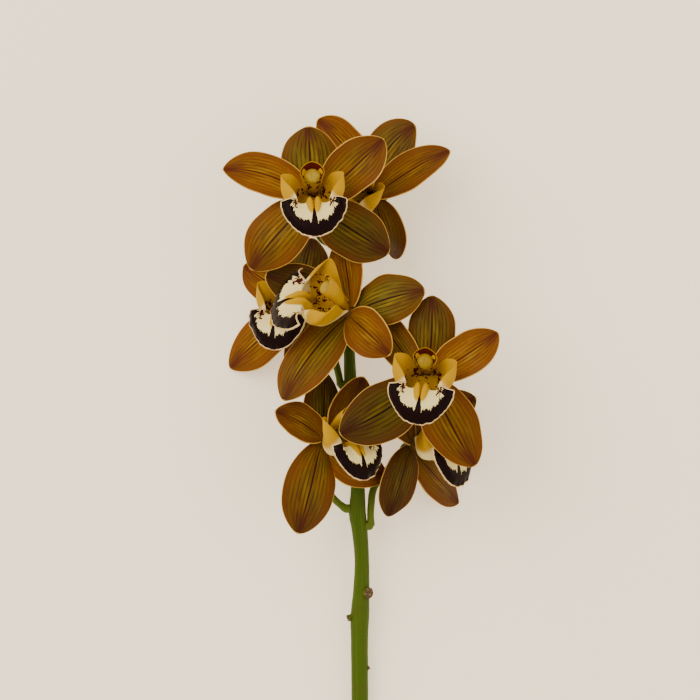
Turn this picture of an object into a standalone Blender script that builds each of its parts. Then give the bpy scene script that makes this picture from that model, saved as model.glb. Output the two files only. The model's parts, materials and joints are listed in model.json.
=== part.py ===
# A cut cymbidium stem lying on its back: one green stem, seven pedicels and seven flowers.
# Metres, +Z up. The cut end points to -Y, the top of the spray to +Y, the flowers face up.

import math

import bmesh
import bpy
from mathutils import Vector

MM = 0.001

# Where the middle of the whole spray lies, so that the origin is under its middle.
SPRAY_CENTRE_X = 5.5
SPRAY_CENTRE_Y = -70.0

# The stem's middle line from the cut end to its top, and its radius at each place, in mm.
STEM_ROUTE = [
    ((7.0, -268.0, 4.9), 4.7),
    ((5.6, -228.0, 5.1), 4.6),
    ((5.4, -189.0, 6.6), 4.7),
    ((5.2, -158.0, 9.0), 4.9),
    ((5.4, -147.0, 10.2), 5.3),
    ((6.2, -132.0, 11.8), 4.6),
    ((6.5, -115.0, 14.2), 4.1),
    ((5.2, -98.0, 17.0), 4.5),
    ((4.0, -89.0, 18.8), 4.8),
    ((4.2, -74.0, 21.8), 3.9),
    ((2.8, -50.0, 26.6), 3.9),
    ((0.4, -20.0, 32.0), 3.6),
    ((-0.4, 0.0, 35.4), 3.1),
    ((-1.6, 24.0, 38.6), 2.9),
    ((-4.4, 54.0, 41.5), 2.6),
]
STEM_TOP = 54.0
STEM_SIDES = 12
STEM_RINGS = 44

# Short scars where lower flowers and bracts were cut away: place, direction, radius and length.
STEM_SCARS = [
    ((6.4, -133.0, 12.0), (0.74, -0.1, 0.67), 2.8, 5.9),
    ((5.0, -145.5, 10.4), (-1.0, -0.35, 0.2), 1.6, 7.0),
    ((5.4, -177.5, 7.6), (1.0, 0.5, 0.2), 0.9, 6.0),
]
SCAR_SIDES = 10

PEDICEL_SIDES = 10
PEDICEL_RINGS = 9
PEDICEL_RADIUS = 2.1
NECK_LENGTH = 1.6
SEAT_GAP = 0.3

# The swollen end of a pedicel, which carries the flower: forward place and radius.
HUB_PROFILE = [(-5.0, 2.8), (-3.6, 3.2), (0.9, 3.2), (2.2, 2.6), (3.0, 1.5)]
HUB_BACK = 8.0

BASE_RADIUS = 4.0
SEAT_PULL = 0.8
START_PULL = 0.3
END_PULL = 0.33
SWEEP_PULL = 1.33
BOW_PULL = 1.5
BASE_POWER = 0.8
TIP_POWER = 0.66
BLADE_PEAK = 0.4005
CLAW_HALF_WIDTH = 2.0
TIP_HALF_WIDTH = 0.7
TEPAL_THICKNESS = 1.2
RIM_THICKNESS = 0.55
TEPAL_ROWS = [0.0, 0.12, 0.3, 0.5, 0.69, 0.84, 0.95, 1.0]
TEPAL_COLUMNS = 4

# The lip: a trough with two upright ears beside the column, then a broad apron that hangs down.
LIP_THICKNESS = 1.1
LIP_COLUMNS = 8
THROAT_ROWS = [0.0, 0.2, 0.42, 0.6, 0.76, 0.89, 1.0]
APRON_ROWS = [0.35, 0.7, 1.0]
FLOOR_DEPTH = 3.4
FLOOR_SAG = 6.5
FLOOR_FALL = 1.2
THROAT_START = 2.6
THROAT_LENGTH = 20.4
THROAT_NARROW = 3.0
THROAT_WIDENING = 8.3
THROAT_SPREAD = 2.3
MOUTH_PINCH = 0.22
PINCH_START = 0.7
EAR_LOW = 1.4
EAR_HEIGHT = 17.5
EAR_PEAK = 1.5
EAR_ROUND = 0.62
EAR_FOOT = 2.2
EAR_FLARE = 6.0
EAR_FLARE_PEAK = 3.1
EAR_SPREAD = 1.5
EAR_CURL = 4.0
EAR_CURL_REACH = 1.3
EAR_FORWARD = 2.5
FLAT_SHARE = 0.3
APRON_HALF_WIDTH = 17.6
APRON_POINT = 0.1
APRON_DROP = 9.0
APRON_LENGTH = 18.0
APRON_FORWARD = 24.5
APRON_NOSE = 1.5
APRON_HALF_ANGLE = 98.0
APRON_CROWN = 3.4

# The column's middle line: height over the hub, place forward of it and radius.
COLUMN_SIDES = 10
COLUMN_FLATTEN = 1.2
COLUMN_PROFILE = [
    (1.6, 3.4, 2.0),
    (2.9, 8.0, 2.8),
    (5.0, 13.0, 3.7),
    (7.6, 18.5, 4.4),
    (9.2, 22.5, 5.0),
    (9.8, 25.2, 4.2),
    (9.8, 26.8, 2.0),
]

# Each flower: the place of its hub, the way it faces, the way its top sepal points, the place
# and side of the stem where its pedicel starts (none: the stem's top), the places the pedicel
# passes, and its five tepals. Where the lip and column nod another way, or the lip is larger
# than the others, that is given too.
# A tepal: its tip from the hub, its width, bow, cup, sideways sweep (mm) and roll (degrees).
FLOWERS = {
    "flower_1": {
        "hub": (-20.0, 81.0, 66.0),
        "facing": (0.02, 0.2, 1.0),
        "up": (-0.05, 1.0, 0.0),
        "pedicel_y": None,
        "pedicel_via": [(-16.0, 61.0, 48.0)],
        "dorsal_sepal": ((-2.5, 38.8, -4.0), 34.0, 2.0, -0.2, 0.0, 0.0),
        "left_petal": ((-48.0, 15.5, 1.0), 25.0, 3.0, 0.3, -4.5, 0.0),
        "right_petal": ((38.0, 31.5, 5.0), 29.5, 3.0, 0.3, 0.0, 0.0),
        "left_lateral_sepal": ((-33.0, -37.5, -8.0), 33.5, 2.0, -0.2, -2.0, 0.0),
        "right_lateral_sepal": ((40.5, -29.0, -5.0), 33.5, 2.0, -0.2, 0.0, 0.0),
    },
    "flower_2": {
        "hub": (12.0, 85.0, 30.0),
        "facing": (-0.5, 0.1, 0.88),
        "up": (0.5, 0.85, 0.0),
        "pedicel_y": 42.0,
        "pedicel_side": (0.3, 0.0, -1.0),
        "pedicel_via": [(0.0, 56.0, 22.0), (6.0, 70.5, 10.5), (18.0, 83.0, 17.0)],
        "dorsal_sepal": ((24.0, 37.0, 2.0), 33.0, 1.0, -0.2, 6.0, 0.0),
        "left_petal": ((-29.5, 41.0, -6.0), 28.0, 2.0, 0.3, -4.0, 0.0),
        "right_petal": ((42.5, 22.5, 14.0), 23.0, 2.0, 0.3, 3.5, 0.0),
        "left_lateral_sepal": ((-36.0, -14.0, -29.2), 24.0, 1.0, -0.15, -2.0, 0.0),
        "right_lateral_sepal": ((9.5, -29.5, -28.8), 29.0, 1.0, -0.15, 4.5, 0.0),
    },
    "flower_3": {
        "hub": (-0.5, 20.5, 63.0),
        "facing": (-0.6, 0.1, 0.78),
        "up": (1.0, -0.08, 0.0),
        "lip_facing": (-0.76, 0.42, 0.5),
        "lip_up": (0.65, 0.45, 0.61),
        "lip_size": 1.12,
        "pedicel_y": 6.0,
        "pedicel_side": (0.3, 0.0, 1.0),
        "pedicel_via": [(4.5, 12.0, 47.0), (4.5, 19.0, 54.0)],
        "dorsal_sepal": ((40.5, 11.0, 9.0), 30.0, 2.0, -0.2, 2.0, 0.0),
        "left_petal": ((-3.0, 39.5, -15.0), 22.5, 2.0, 0.25, 0.0, 32.0),
        "right_petal": ((22.0, -23.0, 14.0), 28.0, 3.0, 0.3, 3.0, 0.0),
        "left_lateral_sepal": ((-45.0, 20.0, -8.0), 27.0, 0.4, -0.2, 0.0, 0.0),
        "right_lateral_sepal": ((-34.5, -48.0, -6.0), 34.0, 2.0, -0.2, -3.5, 0.0),
    },
    "flower_4": {
        "hub": (-27.0, 26.0, 25.0),
        "facing": (-0.55, 0.08, 0.83),
        "up": (0.1, 1.0, 0.0),
        "lip_facing": (-0.46, 0.03, 0.88),
        "pedicel_y": -19.0,
        "pedicel_side": (-1.0, 0.0, -0.1),
        "pedicel_via": [(-7.0, -10.0, 30.0), (-12.0, 8.0, 21.5), (-18.0, 21.0, 16.5)],
        "dorsal_sepal": ((7.0, 35.0, -10.0), 27.0, 2.0, -0.2, 0.0, 26.0),
        "left_petal": ((-31.0, 20.5, -10.0), 25.0, 2.0, 0.3, 0.0, 0.0),
        "right_petal": ((30.0, 15.5, -2.5), 19.0, 2.0, 0.25, -1.0, 0.0),
        "left_lateral_sepal": ((-39.0, -36.0, -23.4), 30.0, 1.0, -0.15, -1.5, 0.0),
        "right_lateral_sepal": ((-4.0, -45.0, -16.0), 26.0, 1.0, -0.15, 0.0, 0.0),
    },
    "flower_5": {
        "hub": (41.0, -13.5, 69.0),
        "facing": (-0.1, 0.03, 1.0),
        "up": (0.12, 1.0, 0.0),
        "pedicel_y": -45.5,
        "pedicel_side": (0.8, 0.0, 0.6),
        "pedicel_via": [(10.5, -43.5, 38.0), (19.0, -35.5, 47.5), (35.0, -19.0, 54.0)],
        "dorsal_sepal": ((2.7, 42.5, -1.0), 28.0, 2.0, -0.2, -1.0, 0.0),
        "left_petal": ((-27.5, 35.0, -9.0), 21.0, 1.0, 0.3, 0.0, 0.0),
        "right_petal": ((38.0, 22.5, 3.0), 25.0, 3.0, 0.3, 0.0, 0.0),
        "left_lateral_sepal": ((-46.5, -31.0, 5.0), 33.0, 2.0, -0.2, 2.0, 0.0),
        "right_lateral_sepal": ((26.0, -48.5, -4.0), 32.0, 2.0, -0.2, -1.0, 0.0),
    },
    "flower_6": {
        "hub": (-13.5, -48.6, 45.5),
        "facing": (0.58, 0.18, 0.78),
        "up": (0.1, 1.0, 0.0),
        "lip_facing": (0.64, 0.2, 0.74),
        "lip_up": (-0.05, 1.0, 0.0),
        "pedicel_y": -87.0,
        "pedicel_side": (-1.0, 0.0, 0.0),
        "pedicel_via": [(-10.0, -80.0, 20.0), (-19.0, -64.0, 27.0), (-20.0, -52.0, 36.0)],
        "dorsal_sepal": ((-1.6, 37.0, -8.0), 25.0, 2.0, -0.2, 0.0, 0.0),
        "left_petal": ((-27.0, 15.5, 9.0), 23.0, 2.0, 0.3, -1.0, 0.0),
        "right_petal": ((20.5, 34.0, -10.0), 26.0, 1.0, 0.3, 0.0, 0.0),
        "left_lateral_sepal": ((-14.8, -50.5, 1.5), 33.0, 2.0, -0.2, 0.0, 24.0),
        "right_lateral_sepal": ((33.0, -20.5, -16.0), 27.0, 1.0, -0.2, 0.0, 0.0),
    },
    "flower_7": {
        "hub": (35.0, -51.5, 33.0),
        "facing": (0.62, 0.2, 0.74),
        "up": (0.3, 1.0, 0.0),
        "lip_facing": (0.78, 0.16, 0.6),
        "lip_up": (0.1, 1.0, 0.0),
        "pedicel_y": -97.0,
        "pedicel_side": (1.0, 0.0, 0.1),
        "pedicel_via": [(11.5, -86.0, 17.5), (14.0, -74.0, 16.5), (26.0, -60.0, 18.5)],
        "dorsal_sepal": ((34.0, 25.0, -16.0), 26.0, 1.0, -0.2, 0.0, 0.0),
        "left_petal": ((-21.0, 25.0, -6.0), 21.0, 1.0, 0.3, 0.0, 0.0),
        "right_petal": ((32.0, -12.0, -18.0), 19.0, 1.0, 0.3, 0.0, 0.0),
        "left_lateral_sepal": ((-14.6, -39.0, -3.0), 24.0, 2.0, -0.2, 0.0, 20.0),
        "right_lateral_sepal": ((24.5, -33.0, -31.8), 24.0, 1.0, -0.15, 0.0, 0.0),
    },
}

# Each tepal: the angle from straight up at which it leaves the hub, and how far before the
# middle of the hub it starts. The petals start in front of the sepals.
TEPALS = {
    "dorsal_sepal": (0.0, -1.5),
    "left_petal": (72.0, 0.7),
    "right_petal": (-72.0, 0.7),
    "left_lateral_sepal": (144.0, -1.5),
    "right_lateral_sepal": (-144.0, -3.1),
}


def make_material(name, colour, roughness):
    material = bpy.data.materials.new(name)
    material.use_nodes = True
    shader = material.node_tree.nodes["Principled BSDF"]
    shader.inputs["Base Color"].default_value = (*colour, 1.0)
    shader.inputs["Roughness"].default_value = roughness
    shader.inputs["Metallic"].default_value = 0.0
    return material


def make_object(name, points, faces, material, parent):
    mesh = bpy.data.meshes.new(name)
    mesh.from_pydata([point * MM for point in points], [], faces)
    solid = bmesh.new()
    solid.from_mesh(mesh)
    bmesh.ops.recalc_face_normals(solid, faces=solid.faces)
    bmesh.ops.triangulate(solid, faces=solid.faces)
    solid.to_mesh(mesh)
    solid.free()
    mesh.shade_smooth()
    mesh.materials.append(material)
    piece = bpy.data.objects.new(name, mesh)
    piece.parent = parent
    bpy.context.collection.objects.link(piece)
    return piece


def bezier(start, start_pull, end_pull, end, t):
    back = 1.0 - t
    return (
        start * back ** 3
        + start_pull * 3.0 * t * back ** 2
        + end_pull * 3.0 * t ** 2 * back
        + end * t ** 3
    )


def smooth_route(points, t):
    # A Catmull-Rom curve through the points, t from 0 to 1 over its whole length.
    spans = len(points) - 1
    place = min(t * spans, spans - 1e-9)
    index = int(place)
    local = place - index
    before = points[max(index - 1, 0)]
    first = points[index]
    second = points[index + 1]
    after = points[min(index + 2, spans)]
    return 0.5 * (
        2.0 * first
        + (second - before) * local
        + (2.0 * before - 5.0 * first + 4.0 * second - after) * local ** 2
        + (3.0 * first - before - 3.0 * second + after) * local ** 3
    )


def tube(centres, radii, sides, flatten=1.0, upright=None):
    # Rings round a line of centres, closed at both ends. Radius across is radius times flatten.
    count = len(centres)
    points = []
    side = upright or Vector((0.0, 0.0, 1.0))
    for index in range(count):
        ahead = centres[min(index + 1, count - 1)]
        behind = centres[max(index - 1, 0)]
        along = (ahead - behind).normalized()
        side = (side - along * side.dot(along)).normalized()
        across = along.cross(side)
        for step in range(sides):
            angle = 2.0 * math.pi * step / sides
            points.append(
                centres[index]
                + side * radii[index] * math.cos(angle)
                + across * radii[index] * flatten * math.sin(angle)
            )
    faces = []
    for index in range(count - 1):
        for step in range(sides):
            turn = (step + 1) % sides
            low = index * sides
            high = low + sides
            faces.append((low + step, low + turn, high + turn, high + step))
    faces.append(tuple(range(sides)))
    faces.append(tuple((count - 1) * sides + step for step in range(sides)))
    return points, faces


def sheet_solid(front, back):
    # Two grids of points, joined round their edges, make one closed sheet.
    rows = len(front)
    columns = len(front[0])
    points = [point for row in front for point in row] + [point for row in back for point in row]
    offset = rows * columns
    faces = []
    for row in range(rows - 1):
        for column in range(columns - 1):
            corner = row * columns + column
            quad = (corner, corner + 1, corner + columns + 1, corner + columns)
            faces.append(quad)
            faces.append(tuple(offset + index for index in reversed(quad)))
    edge = [column for column in range(columns)]
    edge += [row * columns + columns - 1 for row in range(1, rows)]
    edge += [(rows - 1) * columns + column for column in range(columns - 2, -1, -1)]
    edge += [row * columns for row in range(rows - 2, 0, -1)]
    for index, first in enumerate(edge):
        second = edge[(index + 1) % len(edge)]
        faces.append((second, first, offset + first, offset + second))
    return points, faces


def right_up_facing(facing, up):
    facing = Vector(facing).normalized()
    up = Vector(up)
    up = (up - facing * up.dot(facing)).normalized()
    right = up.cross(facing)
    return right, up, facing


def tepal_half_width(u, width):
    # Narrow where it leaves the hub, widest a little past the middle, with a blunt tip.
    blade = u ** BASE_POWER * (1.0 - u) ** TIP_POWER / BLADE_PEAK
    claw = CLAW_HALF_WIDTH * (1.0 - u) ** 3
    return max(0.5 * width * blade + claw, TIP_HALF_WIDTH)


def tepal_points(hub, axes, seat, tepal):
    reach, width, bow, cup, sweep, roll = tepal
    seat_angle, seat_forward = seat
    right, up, facing = axes
    reach = Vector(reach)
    lean = math.radians(seat_angle)
    ring_out = up * math.cos(lean) - right * math.sin(lean)
    outward = (reach - facing * reach.dot(facing)).normalized()
    outward = (outward + ring_out * SEAT_PULL).normalized()
    start = hub + ring_out * BASE_RADIUS + facing * seat_forward
    end = hub + reach
    length = (end - start).length
    start_pull = start + outward * length * START_PULL
    run_in = (end - start_pull).normalized()
    sideways = facing.cross(run_in).normalized() * sweep * SWEEP_PULL
    start_pull = start_pull + sideways
    end_pull = end - run_in * length * END_PULL + facing * bow * BOW_PULL + sideways
    front = []
    back = []
    for u in TEPAL_ROWS:
        centre = bezier(start, start_pull, end_pull, end, u)
        ahead = bezier(start, start_pull, end_pull, end, min(u + 0.01, 1.0))
        behind = bezier(start, start_pull, end_pull, end, max(u - 0.01, 0.0))
        along = (ahead - behind).normalized()
        normal = (facing - along * facing.dot(along)).normalized()
        across = along.cross(normal)
        turn = math.radians(roll) * u
        normal, across = (
            normal * math.cos(turn) + across * math.sin(turn),
            across * math.cos(turn) - normal * math.sin(turn),
        )
        half = tepal_half_width(u, width)
        bend = cup * (1.0 + (1.0 - u) ** 2)
        front_row = []
        back_row = []
        for column in range(TEPAL_COLUMNS + 1):
            v = 2.0 * column / TEPAL_COLUMNS - 1.0
            angle = bend * v
            point = centre + (across * math.sin(angle) + normal * (1.0 - math.cos(angle))) * half / bend
            outward_normal = normal * math.cos(angle) - across * math.sin(angle)
            body = (1.0 - v * v) * min(1.0, 6.0 * (1.0 - u))
            thickness = RIM_THICKNESS + (TEPAL_THICKNESS - RIM_THICKNESS) * body
            front_row.append(point + outward_normal * thickness * 0.5)
            back_row.append(point - outward_normal * thickness * 0.5)
        front.append(front_row)
        back.append(back_row)
    return front, back


def lip_place(s, t):
    # The middle surface of the lip in its flower's axes: x right, y up, z forward, in mm.
    # s runs 0 to 1 along the throat and 1 to 2 over the apron, t from -1 to 1 across.
    throat = min(s, 1.0)
    floor_y = -FLOOR_DEPTH - FLOOR_SAG * math.sin(math.pi * throat * 0.8) - FLOOR_FALL * throat
    floor_z = THROAT_START + THROAT_LENGTH * throat
    half = THROAT_NARROW + THROAT_WIDENING * math.sin(0.5 * math.pi * min(throat * THROAT_SPREAD, 1.0))
    half *= 1.0 - MOUTH_PINCH * max(throat - PINCH_START, 0.0) / (1.0 - PINCH_START)
    ear = abs(math.sin(math.pi * throat ** EAR_PEAK)) ** EAR_ROUND
    wall = EAR_LOW + EAR_HEIGHT * ear + EAR_FOOT * throat
    flare = EAR_FLARE * math.sin(math.pi * throat ** EAR_FLARE_PEAK)
    curl = EAR_CURL * math.sin(math.pi * min(throat * EAR_CURL_REACH, 1.0))
    rise = max(abs(t) - FLAT_SHARE, 0.0) / (1.0 - FLAT_SHARE)
    swing = math.sin(0.5 * math.pi * min(abs(t) / 0.55, 1.0))
    side = math.copysign(1.0, t) if t else 0.0
    opening = math.sin(0.5 * math.pi * min(rise * EAR_SPREAD, 1.0))
    x = side * (half * swing + flare * opening - curl * rise ** 2)
    y = floor_y + wall * rise
    z = floor_z + EAR_FORWARD * rise * math.sin(math.pi * throat)
    if s <= 1.0:
        return Vector((x, y, z))
    spread = s - 1.0
    angle = math.radians(APRON_HALF_ANGLE) * t
    rim_x = APRON_HALF_WIDTH * math.sin(angle) * (1.0 - APRON_POINT * math.sin(2.0 * angle) ** 2)
    rim_y = -APRON_DROP - APRON_LENGTH * math.cos(angle)
    rim_z = APRON_FORWARD + APRON_NOSE * math.cos(angle)
    crown = APRON_CROWN * math.sin(math.pi * spread)
    return Vector((x, y, z)).lerp(Vector((rim_x, rim_y, rim_z)), spread) + Vector((0.0, 0.0, crown))


def lip_points(hub, axes, size):
    right, up, facing = axes
    rows = THROAT_ROWS + [1.0 + apron for apron in APRON_ROWS]
    front = []
    back = []
    step = 0.02
    for s in rows:
        front_row = []
        back_row = []
        for column in range(LIP_COLUMNS + 1):
            t = 2.0 * column / LIP_COLUMNS - 1.0
            along = lip_place(min(s + step, 2.0), t) - lip_place(max(s - step, 0.0), t)
            across = lip_place(s, min(t + step, 1.0)) - lip_place(s, max(t - step, -1.0))
            normal = across.cross(along).normalized()
            place = lip_place(s, t) * size
            for row, side in ((front_row, 0.5), (back_row, -0.5)):
                local = place + normal * side * LIP_THICKNESS
                row.append(hub + right * local.x + up * local.y + facing * local.z)
        front.append(front_row)
        back.append(back_row)
    return front, back


def column_tube(hub, axes):
    right, up, facing = axes
    centres = [hub + up * height + facing * forward for height, forward, radius in COLUMN_PROFILE]
    radii = [radius for height, forward, radius in COLUMN_PROFILE]
    return tube(centres, radii, COLUMN_SIDES, COLUMN_FLATTEN, up)


def stem_state(y):
    # The stem's middle, direction and radius where it passes y.
    places = [Vector(place) for place, radius in STEM_ROUTE]
    for index in range(len(places) - 1):
        low, high = places[index], places[index + 1]
        if low.y <= y <= high.y:
            share = (y - low.y) / (high.y - low.y)
            radius = STEM_ROUTE[index][1] + share * (STEM_ROUTE[index + 1][1] - STEM_ROUTE[index][1])
            return low.lerp(high, share), (high - low).normalized(), radius
    return places[-1], (places[-1] - places[-2]).normalized(), STEM_ROUTE[-1][1]


def pedicel_tube(flower, hub, facing):
    if flower["pedicel_y"] is None:
        middle, along, radius = stem_state(STEM_TOP)
        leave = along.copy()
        start = middle + leave * SEAT_GAP
    else:
        middle, along, radius = stem_state(flower["pedicel_y"])
        side = Vector(flower["pedicel_side"])
        leave = (side - along * side.dot(along)).normalized()
        start = middle + leave * (radius + SEAT_GAP)
    route = [start + leave * NECK_LENGTH]
    route += [Vector(place) for place in flower["pedicel_via"]]
    route += [hub - facing * HUB_BACK]
    centres = [start]
    radii = [PEDICEL_RADIUS]
    for ring in range(PEDICEL_RINGS):
        centres.append(smooth_route(route, ring / PEDICEL_RINGS))
        radii.append(PEDICEL_RADIUS * (0.95 + 0.25 * ring / PEDICEL_RINGS))
    for forward, radius in HUB_PROFILE:
        centres.append(hub + facing * forward)
        radii.append(radius)
    return tube(centres, radii, PEDICEL_SIDES)


def make_stem(material, parent):
    places = [Vector(place) for place, radius in STEM_ROUTE]
    sizes = [Vector((radius, 0.0, 0.0)) for place, radius in STEM_ROUTE]
    centres = [smooth_route(places, ring / STEM_RINGS) for ring in range(STEM_RINGS + 1)]
    radii = [smooth_route(sizes, ring / STEM_RINGS).x for ring in range(STEM_RINGS + 1)]
    points, faces = tube(centres, radii, STEM_SIDES)
    stem = make_object("stem", points, faces, material, parent)
    for place, direction, radius, length in STEM_SCARS:
        start = Vector(place)
        away = Vector(direction).normalized()
        centres = [start, start + away * length * 0.8, start + away * length]
        points, faces = tube(centres, [radius * 1.15, radius, radius * 0.75], SCAR_SIDES)
        scar = make_object("scar_shape", points, faces, material, parent)
        scar.hide_render = True
        scar.display_type = "WIRE"
        union = stem.modifiers.new("scar", "BOOLEAN")
        union.operation = "UNION"
        union.solver = "EXACT"
        union.object = scar
    return stem


def make_flower(name, flower, materials, parent):
    hub = Vector(flower["hub"])
    axes = right_up_facing(flower["facing"], flower["up"])
    lip_facing = flower.get("lip_facing", flower["facing"])
    lip_axes = right_up_facing(lip_facing, flower.get("lip_up", flower["up"]))
    points, faces = pedicel_tube(flower, hub, axes[2])
    make_object(f"{name}_pedicel", points, faces, materials["pedicel"], parent)
    for part, seat in TEPALS.items():
        kind = "petal" if part.endswith("petal") else "sepal"
        points, faces = sheet_solid(*tepal_points(hub, axes, seat, flower[part]))
        make_object(f"{name}_{part}", points, faces, materials[kind], parent)
    points, faces = sheet_solid(*lip_points(hub, lip_axes, flower.get("lip_size", 1.0)))
    make_object(f"{name}_lip", points, faces, materials["lip"], parent)
    points, faces = column_tube(hub, lip_axes)
    make_object(f"{name}_column", points, faces, materials["column"], parent)


def main():
    for thing in list(bpy.data.objects):
        bpy.data.objects.remove(thing)
    origin = bpy.data.objects.new("spray_middle", None)
    origin.location = (-SPRAY_CENTRE_X * MM, -SPRAY_CENTRE_Y * MM, 0.0)
    bpy.context.collection.objects.link(origin)
    materials = {
        "stem": make_material("stem green", (0.09, 0.15, 0.015), 0.5),
        "pedicel": make_material("pedicel green", (0.13, 0.2, 0.025), 0.5),
        "sepal": make_material("sepal olive", (0.16, 0.09, 0.006), 0.45),
        "petal": make_material("petal amber", (0.26, 0.11, 0.008), 0.45),
        "lip": make_material("lip cream", (0.7, 0.6, 0.3), 0.45),
        "column": make_material("column yellow", (0.6, 0.42, 0.03), 0.4),
    }
    make_stem(materials["stem"], origin)
    for name, flower in FLOWERS.items():
        make_flower(name, flower, materials, origin)


main()
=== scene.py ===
import json
import math

import bpy
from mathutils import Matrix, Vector, noise

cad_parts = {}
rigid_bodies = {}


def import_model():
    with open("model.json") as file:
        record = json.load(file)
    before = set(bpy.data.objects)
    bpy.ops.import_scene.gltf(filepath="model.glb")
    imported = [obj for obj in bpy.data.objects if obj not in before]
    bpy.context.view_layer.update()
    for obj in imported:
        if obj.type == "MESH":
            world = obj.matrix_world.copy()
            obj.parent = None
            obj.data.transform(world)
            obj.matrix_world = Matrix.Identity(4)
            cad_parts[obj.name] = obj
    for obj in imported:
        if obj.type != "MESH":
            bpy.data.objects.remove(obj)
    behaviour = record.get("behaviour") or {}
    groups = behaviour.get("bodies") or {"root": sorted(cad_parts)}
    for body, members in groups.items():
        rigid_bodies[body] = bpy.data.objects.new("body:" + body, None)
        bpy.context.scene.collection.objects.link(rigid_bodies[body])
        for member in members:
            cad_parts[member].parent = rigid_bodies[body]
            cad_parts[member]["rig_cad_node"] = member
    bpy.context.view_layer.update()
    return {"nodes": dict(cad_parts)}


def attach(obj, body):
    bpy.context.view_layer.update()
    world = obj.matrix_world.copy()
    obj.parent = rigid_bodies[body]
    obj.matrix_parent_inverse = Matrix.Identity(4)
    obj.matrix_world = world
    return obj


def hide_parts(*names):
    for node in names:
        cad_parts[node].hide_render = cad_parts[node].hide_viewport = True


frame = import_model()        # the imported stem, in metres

mm = 0.001
sprayMiddle = Vector((-5.5, 70.0, 0.0))  # from the flowers' own frame to the imported one, in mm
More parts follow.
